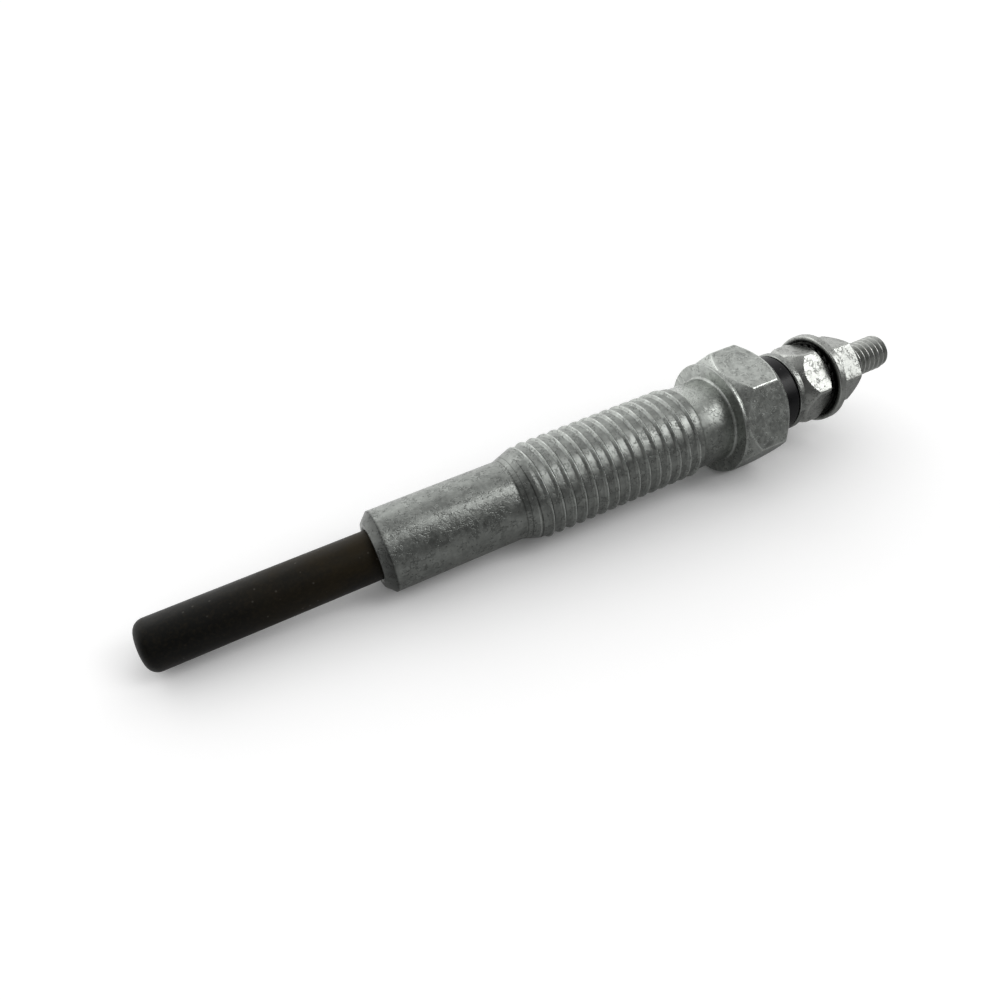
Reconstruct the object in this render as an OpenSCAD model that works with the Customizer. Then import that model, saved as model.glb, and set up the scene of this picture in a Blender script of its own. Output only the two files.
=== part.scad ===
// Diesel glow plug with a sheathed heater, lying with one flat of its wrench hexagon up.
// Sizes are millimetres. The plug's axis is X: the heater tip points to -X, the terminal stud to +X.
// The origin is on the axis at the rear end of the full mounting thread, where it runs out to the neck.
// Threads are drawn as plain cylinders at their nominal diameter.

/* [Heater sheath] */
// Outside diameter of the sheath tube
sheath_d = 5; // [4:0.1:5.6]
// Wall thickness of the sheath tube
sheath_wall = 0.6; // [0.4:0.05:0.7]
// Length of sheath that stands out of the housing
heater_len = 21.4; // [16:0.1:30]
// Length of sheath pressed into the housing
sheath_grip = 16; // [10:0.5:17]
// Rounding radius of the closed tip
tip_round = 1.7; // [0.8:0.1:1.9]
// Corner radius inside the closed tip
tip_inner_round = 0.4; // [0.2:0.05:0.5]
// Thickness of the closed tip's end wall
tip_wall = 0.9; // [0.6:0.1:1.5]

/* [Coils] */
// Diameter of the coil wire
wire_d = 0.36; // [0.25:0.01:0.45]
// Radial gap between the coils and the sheath
coil_gap = 0.57; // [0.45:0.01:0.8]
// Turns of the heating coil behind the tip
heating_turns = 7; // [4:1:9]
// Pitch of the heating coil
heating_pitch = 1; // [0.6:0.05:1.1]
// Turns of the regulating coil
regulating_turns = 10; // [6:1:11]
// Length of the straight lead between the tip and the heating coil
lead_len = 1; // [0.6:0.1:1.5]
// Pitch of the regulating coil
regulating_pitch = 0.75; // [0.6:0.05:0.9]

/* [Housing] */
// Diameter of the plain nose that enters the cylinder head
nose_d = 8.25; // [7.2:0.05:8.6]
// Length of the plain nose, from the seat's rim to the thread's lead-in
nose_len = 13.55; // [10:0.05:18]
// Axial length of the conical seat on the front of the nose
seat_len = 0.85; // [0.5:0.05:2]
// Width of the front face between the sheath and the seat's small end
seat_land = 0.75; // [0.5:0.05:0.9]
// Chamfer at the mouth of the sheath's bore
mouth_chamfer = 0.35; // [0.2:0.05:0.45]
// Length of the taper from the nose up to the thread
lead_in_len = 2.6; // [0.8:0.1:3.5]
// Nominal diameter of the mounting thread
thread_d = 10; // [9:0.1:11]
// Length of the full mounting thread
thread_len = 17.8; // [12:0.1:22]
// Length of the thread's run-out onto the neck
runout_len = 0.6; // [0.3:0.1:1.2]
// Diameter of the neck behind the thread
neck_d = 9.2; // [8.8:0.1:9.6]
// Distance from the full thread's rear end to the washer face of the hexagon
neck_len = 4.5; // [3:0.1:8]
// Fillet radius between the neck and the washer face
neck_fillet = 0.2; // [0.1:0.05:0.4]

/* [Wrench hexagon] */
// Hexagon size across its flats
hex_af = 12; // [11.5:0.1:14]
// Length of the hexagon, between its washer face and its rear face
hex_len = 6.4; // [5:0.1:9]
// Diameter of the round collar with the washer face, in front of the hexagon
washer_face_d = 12.4; // [11:0.1:13.4]
// Thickness of the collar's rim
washer_face_t = 0.3; // [0.1:0.05:0.6]
// How far the hexagon's front chamfer starts inside the flats, at the washer face
washer_face_inset = 0.4; // [0.05:0.05:0.5]
// Angle of the front chamfer, from the axis
hex_front_chamfer = 36; // [22:1:60]
// How far the flat rear face stays inside the flats
hex_rear_inset = 0.5; // [0.1:0.05:0.7]
// Angle of the rear chamfer, from the rear face
hex_rear_chamfer = 46; // [15:1:55]

/* [Inside the housing] */
// Diameter of the clearance bore around the rod
body_bore_d = 6; // [5.8:0.1:6.4]
// Diameter of the rear pocket for the seal and the insulator
pocket_d = 7.8; // [7:0.1:8.2]
// Depth of the rear pocket
pocket_depth = 5.4; // [3.5:0.1:6.5]
// Axial width of the seal ring in the pocket
seal_w = 1.5; // [1:0.1:2]
// Corner radius of the seal ring
seal_round = 0.4; // [0.2:0.05:0.5]
// Length of the rubber bush that closes the sheath
sheath_seal_len = 3; // [2:0.1:4]

/* [Centre rod] */
// How much slimmer the rod is than its clamp thread, on the radius
rod_relief = 0.25; // [0.1:0.05:0.5]
// Radial gap between the rod's front end and the sheath
rod_front_gap = 0.55; // [0.4:0.05:0.6]
// Length of the slim pin that carries the regulating coil
pin_len = 2.4; // [1.5:0.1:3]
// Length of the taper between the two rod diameters
rod_taper_len = 1; // [0.5:0.1:2]
// Gap between the sheath's rear end and the rod's taper
rod_taper_gap = 1.5; // [1:0.1:3]
// Nominal diameter of the rod's thread under the clamp nut
clamp_thread_d = 5; // [4.9:0.1:5.4]
// Nominal diameter of the terminal thread
stud_d = 4; // [3.5:0.1:4.4]
// Length of stud that shows behind the terminal nut
stud_len = 6.4; // [4:0.1:10]
// Chamfer on the stud's end
stud_chamfer = 0.55; // [0.2:0.05:0.8]
// How far the clamp thread stops short of the terminal nut's seat
thread_step = 0.4; // [0.2:0.1:0.8]

/* [Insulator] */
// Diameter of the insulator's flange
insulator_d = 8.7; // [8.3:0.1:9]
// Thickness of the flange
insulator_len = 2.65; // [1.8:0.05:5]
// Edge rounding of the flange
insulator_round = 0.25; // [0.1:0.05:0.5]
// Radial clearance of the insulator's spigot in the pocket
spigot_gap = 0.05; // [0.02:0.01:0.1]
// Radial clearance of the insulator and the washer on the rod's thread
thread_gap = 0.1; // [0.05:0.05:0.2]

/* [Clamp washer and nut] */
// Outside diameter of the flat washer
washer_d = 8.9; // [8.5:0.1:10]
// Thickness of the flat washer
washer_t = 0.8; // [0.5:0.05:1.2]
// Edge break of the flat washer
washer_edge = 0.12; // [0.05:0.01:0.25]
// Clamp nut size across its flats
clamp_af = 8; // [7.6:0.1:9]
// Thickness of the clamp nut
clamp_t = 4.2; // [3.2:0.1:5]
// How far the clamp nut's small front face stays inside the flats
clamp_front_inset = 0.7; // [0.4:0.05:0.9]
// Angle of the clamp nut's deep front chamfer, from the axis
clamp_front_chamfer = 32; // [28:1:45]
// How far the clamp nut's rear face stays inside the flats
clamp_rear_inset = 0.25; // [0.1:0.05:0.5]
// Angle of the clamp nut's rear chamfer, from the rear face
clamp_rear_chamfer = 35; // [15:1:45]
// Roll of the clamp nut about the axis, from a flat that faces up
clamp_roll = 37; // [0:1:60]

/* [Terminal flange nut] */
// Terminal nut size across its flats
terminal_af = 7; // [6.5:0.1:8]
// Height of the terminal nut with its flange
terminal_t = 4.7; // [4:0.05:6]
// Diameter of the flange
flange_d = 10.1; // [9.2:0.1:11.5]
// Thickness of the flange's rim
flange_rim = 0.7; // [0.6:0.05:1.2]
// Angle of the flange's conical back, from the bearing face
flange_slope = 25; // [10:1:30]
// How far the terminal nut's rear face stays inside the flats
terminal_rear_inset = 0.15; // [0.1:0.05:0.5]
// Angle of the terminal nut's rear chamfer, from the rear face
terminal_rear_chamfer = 30; // [15:1:35]
// Roll of the terminal nut about the axis, from a flat that faces up
terminal_roll = 40; // [0:1:60]
// Number of locking teeth under the flange
tooth_count = 24; // [12:1:30]
// Depth of the locking teeth
tooth_depth = 0.25; // [0.1:0.05:0.4]
// Width of the plain ring between the nut's thread and the teeth
tooth_land = 0.9; // [0.6:0.05:1.2]
// Share of the tooth pitch that each groove takes at its inner end
tooth_share = 0.8; // [0.5:0.05:0.9]

/* [Hidden] */
$fn = 96;

// Stations along the axis, from the tip to the stud
thread_front_x = -thread_len;
nose_rear_x = thread_front_x - lead_in_len;
seat_rim_x = nose_rear_x - nose_len;
seat_front_x = seat_rim_x - seat_len;
tip_x = seat_front_x - heater_len;
sheath_rear_x = seat_front_x + sheath_grip;
sheath_inner_r = sheath_d / 2 - sheath_wall;
filling_front_x = tip_x + tip_wall;
filling_rear_x = sheath_rear_x - sheath_seal_len;
hex_front_x = neck_len;
hex_rear_x = hex_front_x + hex_len;
pocket_floor_x = hex_rear_x - pocket_depth;
seal_rear_x = pocket_floor_x + seal_w;
washer_x = hex_rear_x + insulator_len;
clamp_x = washer_x + washer_t;
terminal_x = clamp_x + clamp_t;
stud_root_x = terminal_x + terminal_t;
stud_end_x = stud_root_x + stud_len;
rod_front_d = 2 * (sheath_inner_r - rod_front_gap);
rod_d = clamp_thread_d - 2 * rod_relief;

// Coil helices: the two wires meet end to end, and the last turns lie round the rod's pin
coil_steps = 16;
wire_sides = 6;
wire_r = wire_d / 2;
channel_r = sheath_inner_r - coil_gap;
coil_r = channel_r - wire_r;
heating_start_x = filling_front_x + lead_len;
coil_turns = heating_turns + regulating_turns;
coil_end_x = coil_x(coil_turns);
coil_end_gap = 0.4;
shoulder_x = coil_end_x + wire_r + coil_end_gap;
pin_x = shoulder_x - pin_len;
wire_gap = 0.005;
pin_r = (coil_r - wire_r * cos(180 / wire_sides)) * cos(180 / coil_steps) - wire_gap;
overcut = 1;
corner_margin = 0.2;

// Turns a shape drawn along Z onto the plug's X axis
module on_axis(x = 0) {
    translate([x, 0, 0])
        rotate([0, 90, 0])
            children();
}

// Solid of revolution about the plug's axis, from points that give radius and place along the axis
module turned(profile) {
    on_axis()
        rotate_extrude()
            polygon(profile);
}

// Plain bore along the axis, between two places
module bore(d, from_x, to_x) {
    on_axis(from_x)
        cylinder(d = d, h = to_x - from_x);
}

// Hexagon along the axis with turned chamfers, and one flat rolled from facing up.
// Each chamfer cone starts on a face's edge, inset from the flats, and has an axial run per unit of radius.
module chamfered_hex(af, from_x, to_x, roll, front_inset, front_run, rear_inset, rear_run) {
    corner_r = af / sqrt(3);
    reach = corner_r + corner_margin;
    front_r = af / 2 - front_inset;
    rear_r = af / 2 - rear_inset;
    intersection() {
        on_axis(from_x)
            rotate([0, 0, roll - 30])
                cylinder(r = corner_r, h = to_x - from_x, $fn = 6);
        turned([[0, from_x], [front_r, from_x], [reach, from_x + (reach - front_r) * front_run],
                [reach, to_x - (reach - rear_r) * rear_run], [rear_r, to_x], [0, to_x]]);
    }
}

// Half outline of a bar with one round-cornered end, for revolving
module round_ended_outline(r, corner, from_x, to_x) {
    translate([0, from_x])
        square([r - corner, to_x - from_x]);
    translate([0, from_x + corner])
        square([r, to_x - from_x - corner]);
    translate([r - corner, from_x + corner])
        intersection() {
            circle(corner);
            translate([0, -corner])
                square(corner);
        }
}

// Place along the axis after some turns from the tip: the heating coil first, then the regulating coil
function coil_x(turn) = heating_start_x + heating_pitch * min(turn, heating_turns)
    + regulating_pitch * max(turn - heating_turns, 0);

// Section of the wire at a turn and a place: its plane holds the axis at tilt 0 and crosses it at tilt 90
function wire_ring(turn, x, tilt = 0, stretch = 1) = [
    for (j = [0 : wire_sides - 1])
        let (
            b = 360 * (j + 0.5) / wire_sides,
            r = coil_r + wire_r * cos(b),
            across = -wire_r * stretch * sin(b) * sin(tilt),
            along = wire_r * stretch * sin(b) * cos(tilt)
        )
            [r * cos(360 * turn) - across * sin(360 * turn), r * sin(360 * turn) + across * cos(360 * turn),
             x + along]
];

// Sections of the helix between two counts of turns
function helix_rings(from_turn, to_turn) = [
    for (i = [0 : (to_turn - from_turn) * coil_steps])
        let (turn = from_turn + i / coil_steps)
            wire_ring(turn, coil_x(turn))
];

// Straight lead that runs from the tip's end wall to a mitre where the helix starts
function lead_rings() = [
    wire_ring(0, filling_front_x, tilt = 90),
    wire_ring(0, heating_start_x, tilt = 45, stretch = sqrt(2))
];

// Wire swept through a list of sections and closed at both ends
module swept_wire(ring_list) {
    rings = len(ring_list) - 1;
    points = [for (ring = ring_list) each ring];
    sides = [
        for (i = [0 : rings - 1], j = [0 : wire_sides - 1])
            let (a = i * wire_sides + j, b = i * wire_sides + (j + 1) % wire_sides)
                each [[a, a + wire_sides, b], [b, a + wire_sides, b + wire_sides]]
    ];
    front_cap = [for (j = [0 : wire_sides - 1]) j];
    rear_cap = [for (j = [wire_sides - 1 : -1 : 0]) rings * wire_sides + j];
    on_axis()
        polyhedron(points, concat([front_cap], sides, [rear_cap]), convexity = 10);
}

// Conical seat, nose, thread, neck, collar and chamfered hexagon turned from one steel bar and bored through
module housing() {
    color([0.60, 0.62, 0.61])
        difference() {
            union() {
                turned([[0, seat_front_x], [sheath_d / 2 + seat_land, seat_front_x], [nose_d / 2, seat_rim_x],
                        [nose_d / 2, nose_rear_x], [thread_d / 2, thread_front_x], [thread_d / 2, 0],
                        [neck_d / 2, runout_len], [neck_d / 2, hex_front_x - neck_fillet],
                        [neck_d / 2 + neck_fillet, hex_front_x], [0, hex_front_x]]);
                turned([[0, hex_front_x], [washer_face_d / 2, hex_front_x],
                        [washer_face_d / 2, hex_front_x + washer_face_t],
                        [neck_d / 2, hex_front_x + washer_face_t + (washer_face_d - neck_d) / 2],
                        [0, hex_front_x + washer_face_t + (washer_face_d - neck_d) / 2]]);
                chamfered_hex(hex_af, hex_front_x, hex_rear_x, 0, washer_face_inset,
                              1 / tan(hex_front_chamfer), hex_rear_inset, tan(hex_rear_chamfer));
            }
            bore(sheath_d, seat_front_x - overcut, sheath_rear_x);
            turned([[0, seat_front_x - overcut],
                    [sheath_d / 2 + mouth_chamfer + overcut, seat_front_x - overcut],
                    [sheath_d / 2, seat_front_x + mouth_chamfer], [0, seat_front_x + mouth_chamfer]]);
            bore(body_bore_d, sheath_rear_x, pocket_floor_x);
            bore(pocket_d, pocket_floor_x, hex_rear_x + overcut);
        }
}

// Drawn tube with a closed, round-cornered tip
module heater_sheath() {
    color([0.10, 0.09, 0.08])
        on_axis()
            rotate_extrude()
                difference() {
                    round_ended_outline(sheath_d / 2, tip_round, tip_x, sheath_rear_x);
                    round_ended_outline(sheath_inner_r, tip_inner_round, filling_front_x,
                                        sheath_rear_x + overcut);
                }
}

// Heating coil, welded to the tip in front and to the regulating coil behind
module heating_coil() {
    color([0.70, 0.48, 0.30])
        swept_wire(concat(lead_rings(), helix_rings(1 / coil_steps, heating_turns)));
}

// Regulating coil, whose last turns lie round the rod's pin
module regulating_coil() {
    color([0.66, 0.60, 0.52])
        swept_wire(helix_rings(heating_turns, coil_turns));
}

// Pressed magnesia powder that fills the sheath round the coils and the rod's end
module magnesia_filling() {
    color([0.93, 0.92, 0.88])
        difference() {
            on_axis()
                rotate_extrude()
                    difference() {
                        round_ended_outline(sheath_inner_r, tip_inner_round, filling_front_x, filling_rear_x);
                        translate([pin_r, heating_start_x - wire_r])
                            square([channel_r - pin_r, shoulder_x - heating_start_x + wire_r]);
                    }
            bore(2 * pin_r, pin_x, shoulder_x + overcut);
            bore(rod_front_d, shoulder_x, filling_rear_x + overcut);
            on_axis(filling_front_x - overcut)
                translate([coil_r, 0, 0])
                    cylinder(d = wire_d + 2 * wire_gap, h = lead_len + overcut);
        }
}

// Rubber bush that closes the sheath round the rod
module sheath_seal() {
    color([0.16, 0.16, 0.16])
        difference() {
            bore(2 * sheath_inner_r, filling_rear_x, sheath_rear_x);
            bore(rod_front_d, filling_rear_x - overcut, sheath_rear_x + overcut);
        }
}

// Rod from the coil to the terminal, with the clamp thread and the terminal stud
module centre_rod() {
    taper_x = sheath_rear_x + rod_taper_gap;
    clamp_thread_x = hex_rear_x;
    clamp_thread_end_x = terminal_x - thread_step;
    color([0.66, 0.67, 0.65])
        turned([[0, pin_x], [pin_r, pin_x], [pin_r, shoulder_x], [rod_front_d / 2, shoulder_x],
                [rod_front_d / 2, taper_x], [rod_d / 2, taper_x + rod_taper_len],
                [rod_d / 2, clamp_thread_x - rod_relief], [clamp_thread_d / 2, clamp_thread_x],
                [clamp_thread_d / 2, clamp_thread_end_x], [stud_d / 2, clamp_thread_end_x],
                [stud_d / 2, stud_end_x - stud_chamfer], [stud_d / 2 - stud_chamfer, stud_end_x],
                [0, stud_end_x]]);
}

// Rubber ring pressed between the rod and the housing's pocket
module housing_seal() {
    inner_r = rod_d / 2;
    outer_r = pocket_d / 2;
    color([0.13, 0.13, 0.14])
        turned([[inner_r, pocket_floor_x + seal_round], [inner_r + seal_round, pocket_floor_x],
                [outer_r - seal_round, pocket_floor_x], [outer_r, pocket_floor_x + seal_round],
                [outer_r, seal_rear_x - seal_round], [outer_r - seal_round, seal_rear_x],
                [inner_r + seal_round, seal_rear_x], [inner_r, seal_rear_x - seal_round]]);
}

// Moulded bush with a flange on the hexagon and a spigot in the pocket
module insulator() {
    flange_r = insulator_d / 2;
    spigot_r = pocket_d / 2 - spigot_gap;
    hole_r = clamp_thread_d / 2 + thread_gap;
    color([0.05, 0.05, 0.05])
        turned([[hole_r, seal_rear_x], [spigot_r, seal_rear_x], [spigot_r, hex_rear_x],
                [flange_r, hex_rear_x], [flange_r, washer_x - insulator_round],
                [flange_r - insulator_round, washer_x], [hole_r, washer_x]]);
}

// Flat washer between the insulator and the clamp nut
module clamp_washer() {
    r = washer_d / 2;
    hole_r = clamp_thread_d / 2 + thread_gap;
    color([0.70, 0.71, 0.69])
        turned([[hole_r, washer_x], [r - washer_edge, washer_x], [r, washer_x + washer_edge],
                [r, clamp_x - washer_edge], [r - washer_edge, clamp_x], [hole_r, clamp_x]]);
}

// Hexagon nut that holds the insulator down, with a deep front chamfer
module clamp_nut() {
    color([0.74, 0.75, 0.73])
        difference() {
            chamfered_hex(clamp_af, clamp_x, terminal_x, clamp_roll, clamp_front_inset,
                          1 / tan(clamp_front_chamfer), clamp_rear_inset, tan(clamp_rear_chamfer));
            bore(clamp_thread_d, clamp_x - overcut, terminal_x + overcut);
        }
}

// Sawtooth grooves cut across the bearing face of the flange
module flange_teeth() {
    inner_r = stud_d / 2 + tooth_land;
    groove_w = tooth_share * 2 * PI * inner_r / tooth_count;
    for (i = [0 : tooth_count - 1])
        on_axis(terminal_x)
            rotate([0, 0, 360 * (i + 0.5) / tooth_count])
                translate([inner_r, 0, 0])
                    rotate([90, 0, 90])
                        linear_extrude(flange_d / 2)
                            polygon([[0, -overcut], [groove_w, -overcut], [groove_w, 0], [0, tooth_depth]]);
}

// Flange nut on the terminal stud, with locking teeth under its flange
module terminal_nut() {
    flange_r = flange_d / 2;
    rim_x = terminal_x + flange_rim;
    cone_x = rim_x + (flange_r - stud_d / 2) * tan(flange_slope);
    color([0.76, 0.77, 0.75])
        difference() {
            union() {
                difference() {
                    turned([[0, terminal_x], [flange_r, terminal_x], [flange_r, rim_x],
                            [stud_d / 2, cone_x], [0, cone_x]]);
                    flange_teeth();
                }
                chamfered_hex(terminal_af, rim_x, stud_root_x, terminal_roll, 0, 0,
                              terminal_rear_inset, tan(terminal_rear_chamfer));
            }
            bore(stud_d, terminal_x - overcut, stud_root_x + overcut);
        }
}

housing();
heater_sheath();
heating_coil();
regulating_coil();
magnesia_filling();
sheath_seal();
centre_rod();
housing_seal();
insulator();
clamp_washer();
clamp_nut();
terminal_nut();
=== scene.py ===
"""Dresses the CAD frame of a diesel glow plug with rolled threads, eased edges, wound coils and finishes."""
import math

import bmesh
import bpy
import numpy as np
from mathutils import Matrix, Vector


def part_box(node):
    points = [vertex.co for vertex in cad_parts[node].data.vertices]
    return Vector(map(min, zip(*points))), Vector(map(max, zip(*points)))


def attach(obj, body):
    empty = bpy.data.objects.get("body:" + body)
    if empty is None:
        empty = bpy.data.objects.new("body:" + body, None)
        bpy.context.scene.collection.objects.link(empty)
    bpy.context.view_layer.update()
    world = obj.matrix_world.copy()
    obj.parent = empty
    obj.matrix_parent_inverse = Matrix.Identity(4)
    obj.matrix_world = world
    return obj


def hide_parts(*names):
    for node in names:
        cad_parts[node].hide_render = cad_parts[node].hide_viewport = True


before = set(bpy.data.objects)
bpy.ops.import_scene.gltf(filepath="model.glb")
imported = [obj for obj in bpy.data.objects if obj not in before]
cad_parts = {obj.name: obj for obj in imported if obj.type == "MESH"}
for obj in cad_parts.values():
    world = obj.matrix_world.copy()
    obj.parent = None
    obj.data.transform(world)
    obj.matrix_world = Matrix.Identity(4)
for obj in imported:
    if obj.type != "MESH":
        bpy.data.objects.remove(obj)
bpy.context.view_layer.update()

bl_info = {
    "name": "Glow Plug Dressing",
    "version": (1, 0, 0),
    "blender": (4, 5, 0),
    "location": "View3D > Sidebar > Glow Plug",
    "description": "Builds a diesel glow plug's visible pieces on its CAD frame, with threads and finishes",
    "category": "Object",
}

MM = 0.001
BODY = "root"


def span(node):
    """Front and rear end of a CAD node along the plug's axis."""
    low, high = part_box(node)
    return low.x, high.x


def radius(node):
    """Largest radius of a round CAD node."""
    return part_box(node)[1].z


SEAT_X, HEX_REAR_X = span("housing")
TIP_X, SHEATH_REAR_X = span("heater_sheath")
SPIGOT_X, WASHER_X = span("insulator")
CLAMP_X, TERMINAL_X = span("clamp_nut")
STUD_ROOT_X = span("terminal_nut")[1]
PIN_X, STUD_END_X = span("centre_rod")
SEAL_X = span("housing_seal")[0]
FILLING_X = span("magnesia_filling")[0]


def length(name, description, millimetres):
    """A length property, given in millimetres."""
    return bpy.props.FloatProperty(name=name, description=description, default=millimetres * MM,
                                   unit="LENGTH", precision=5)


def slant(name, description, degrees):
    """An angle property, given in degrees."""
    return bpy.props.FloatProperty(name=name, description=description, default=math.radians(degrees),
                                   subtype="ANGLE")


def number(name, description, default):
    """A whole-number property."""
    return bpy.props.IntProperty(name=name, description=description, default=default)


def part_of(name, description, default):
    """A share between nothing and all."""
    return bpy.props.FloatProperty(name=name, description=description, default=default, min=0, max=1)


def tint(name, description, colour):
    """A colour property."""
    return bpy.props.FloatVectorProperty(name=name, description=description, default=colour,
                                         subtype="COLOR", min=0, max=1)


def pointer(kind, name):
    """A property that holds a group of properties."""
    return bpy.props.PointerProperty(type=kind, name=name, description=kind.__doc__)


class GlowPlugHousingSizes(bpy.types.PropertyGroup):
    """Sizes of the housing and its mounting thread."""
    nose_d: length("Nose diameter", "Plain nose in front of the thread", 8.25)
    seat_len: length("Seat length", "Axial length of the conical seat", 0.85)
    seat_land: length("Seat land", "Front face between the sheath and the seat", 0.75)
    mouth: length("Mouth chamfer", "Chamfer where the sheath enters the nose", 0.35)
    thread_d: length("Thread diameter", "Outside diameter of the mounting thread", 10)
    thread_len: length("Thread length", "Length of the full mounting thread", 17.8)
    lead_in: length("Lead-in", "Taper from the nose up to the thread", 2.6)
    runout: length("Run-out", "Slope from the thread down to the neck", 0.6)
    last_crest: length("Last crest", "Run of the last crest behind the full thread", 0.55)
    pitch: length("Thread pitch", "Distance between neighbouring crests", 1.25)
    depth: length("Thread depth", "Depth of the thread groove", 0.29)
    crest_share: part_of("Crest share", "Part of the pitch that a crest takes", 0.34)
    neck_d: length("Neck diameter", "Neck between the thread and the hexagon", 9.2)
    neck_fillet: length("Neck fillet", "Rounding between the neck and the washer face", 0.2)
    hex_x: length("Hexagon place", "Washer face of the hexagon along the axis", 4.5)
    hex_af: length("Hexagon size", "Wrench size across the flats", 12)
    face_d: length("Washer face", "Round collar in front of the hexagon", 12.4)
    face_t: length("Collar rim", "Thickness of the collar's rim", 0.3)
    face_inset: length("Front chamfer inset", "Start of the front chamfer inside the flats", 0.52)
    rear_inset: length("Rear face inset", "Rear face inside the flats", 0.5)
    front_chamfer: slant("Front chamfer", "Chamfer angle from the axis", 37.5)
    rear_chamfer: slant("Rear chamfer", "Chamfer angle from the rear face", 46)
    bore_d: length("Bore", "Clearance bore round the rod", 6)
    pocket_d: length("Pocket", "Rear pocket for seal and insulator", 7.8)


class GlowPlugHeaterSizes(bpy.types.PropertyGroup):
    """Sizes of the heater tube and its coils."""
    tip_round: length("Tip rounding", "Corner radius of the closed tip", 1.7)
    wall: length("Wall", "Wall thickness of the tube", 0.6)
    wire_d: length("Wire", "Diameter of the coil wire", 0.36)
    coil_gap: length("Coil gap", "Radial gap between coils and tube", 0.57)
    lead: length("Lead", "Straight wire between tip and first turn", 1)
    heating_pitch: length("Heating pitch", "Pitch of the heating coil", 1)
    heating_turns: number("Heating turns", "Turns behind the tip", 7)
    regulating_pitch: length("Regulating pitch", "Pitch of the regulating coil", 0.75)
    regulating_turns: number("Regulating turns", "Turns on the rod's end", 10)


class GlowPlugTerminalSizes(bpy.types.PropertyGroup):
    """Sizes of the insulator, the washer, the nuts and the stud."""
    edge: length("Eased edge", "Rounding of the nuts' and the hexagon's edges", 0.045)
    wear: length("Worn edge", "Width of the band rubbed bright along an edge", 0.11)
    clamp_af: length("Clamp nut size", "Across flats", 8)
    clamp_roll: slant("Clamp nut roll", "Turn from a flat that faces up", 37)
    clamp_front_inset: length("Clamp nut front", "Front face inside the flats", 0.6)
    clamp_rear_inset: length("Clamp nut rear", "Rear face inside the flats", 0.06)
    clamp_front_chamfer: slant("Clamp nut front chamfer", "Chamfer angle from the axis", 32)
    clamp_rear_chamfer: slant("Clamp nut rear chamfer", "Chamfer angle from the rear face", 50)
    terminal_af: length("Terminal nut size", "Across flats", 7)
    terminal_roll: slant("Terminal nut roll", "Turn from a flat that faces up", 40)
    terminal_inset: length("Terminal nut rear", "Rear face inside the flats", 0.15)
    terminal_chamfer: slant("Terminal nut chamfer", "Chamfer angle from the rear face", 30)
    flange_d: length("Flange diameter", "Flange of the terminal nut", 10.1)
    flange_lip: length("Flange lip", "Teeth's points to the rim's front edge", 0.1)
    flange_rim: length("Flange rim", "Teeth's points to the rim's rear edge", 0.95)
    flange_slope: slant("Flange slope", "Slope of its back from a square face", 25)
    flange_dish: length("Flange dish", "End of the bearing face inside the rim", 0.75)
    tooth_count: number("Teeth", "Locking teeth under the flange", 24)
    tooth_share: part_of("Tooth share", "Part of a tooth's place that it fills", 0.86)
    tooth_depth: length("Tooth depth", "Height of the locking teeth", 0.25)
    clamp_thread_d: length("Clamp thread", "Thread under the clamp nut", 5)
    clamp_pitch: length("Clamp pitch", "Pitch of the clamp thread", 0.8)
    clamp_depth: length("Clamp thread depth", "Depth of the clamp thread's groove", 0.4)
    stud_d: length("Stud", "Outside diameter of the terminal thread", 4)
    stud_pitch: length("Stud pitch", "Pitch of the terminal thread", 0.7)
    stud_depth: length("Stud thread depth", "Depth of the terminal thread's groove", 0.34)
    rod_crest_share: part_of("Rod crest share", "Part of the pitch that a crest on the rod takes", 0.8)
    stud_chamfer: length("Stud chamfer", "Eased end of the stud", 0.55)


class GlowPlugFinishes(bpy.types.PropertyGroup):
    """Colours of the finishes."""
    plated_steel: tint("Plated steel", "Satin zinc plating of the housing", (0.455, 0.475, 0.45))
    bright_zinc: tint("Bright zinc", "Zinc plating of the nuts", (0.40, 0.41, 0.39))
    dull_zinc: tint("Dull zinc", "Zinc plating of the washer", (0.30, 0.31, 0.295))
    stud_steel: tint("Stud steel", "Zinc plating of the rod", (0.43, 0.44, 0.42))
    soot_black: tint("Heat black", "Heater tube near its tip", (0.0018, 0.0018, 0.0016))
    heat_brown: tint("Heat brown", "Heater tube near the nose", (0.015, 0.011, 0.0055))
    insulator: tint("Insulator", "Moulded bush", (0.008, 0.008, 0.009))
    coil_wire: tint("Coil wire", "Resistance wire", (0.52, 0.41, 0.31))
    magnesia: tint("Magnesia", "Pressed powder", (0.80, 0.78, 0.73))
    rubber: tint("Rubber", "Both seals", (0.020, 0.020, 0.021))
    floor: tint("Floor", "Plain pale floor", (0.82, 0.82, 0.82))


class GlowPlugSettings(bpy.types.PropertyGroup):
    """All sizes and colours of the glow plug."""
    housing: pointer(GlowPlugHousingSizes, "Housing")
    heater: pointer(GlowPlugHeaterSizes, "Heater")
    terminal: pointer(GlowPlugTerminalSizes, "Terminal")
    finishes: pointer(GlowPlugFinishes, "Finishes")


# Node trees

def fill(made, inputs):
    """Puts values or links on a node's inputs. A node stands for its first output."""
    for key, value in inputs.items():
        value = value.outputs[0] if isinstance(value, bpy.types.Node) else value
        if isinstance(value, bpy.types.NodeSocket):
            made.id_data.links.new(value, made.inputs[key])
        else:
            made.inputs[key].default_value = value


def node(tree, kind, inputs=None, **settings):
    """A new node, with settings, and with values or links on its inputs."""
    made = tree.nodes.new(kind)
    for key, value in settings.items():
        setattr(made, key, value)
    fill(made, inputs or {})
    return made


def tree_of(*values):
    """The tree of the first node or socket among some values."""
    return next(v.id_data for v in values if isinstance(v, (bpy.types.Node, bpy.types.NodeSocket)))


def blank_tree(owner):
    """The emptied node tree of a material or a world."""
    owner.use_nodes = True
    owner.node_tree.nodes.clear()
    return owner.node_tree


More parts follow.
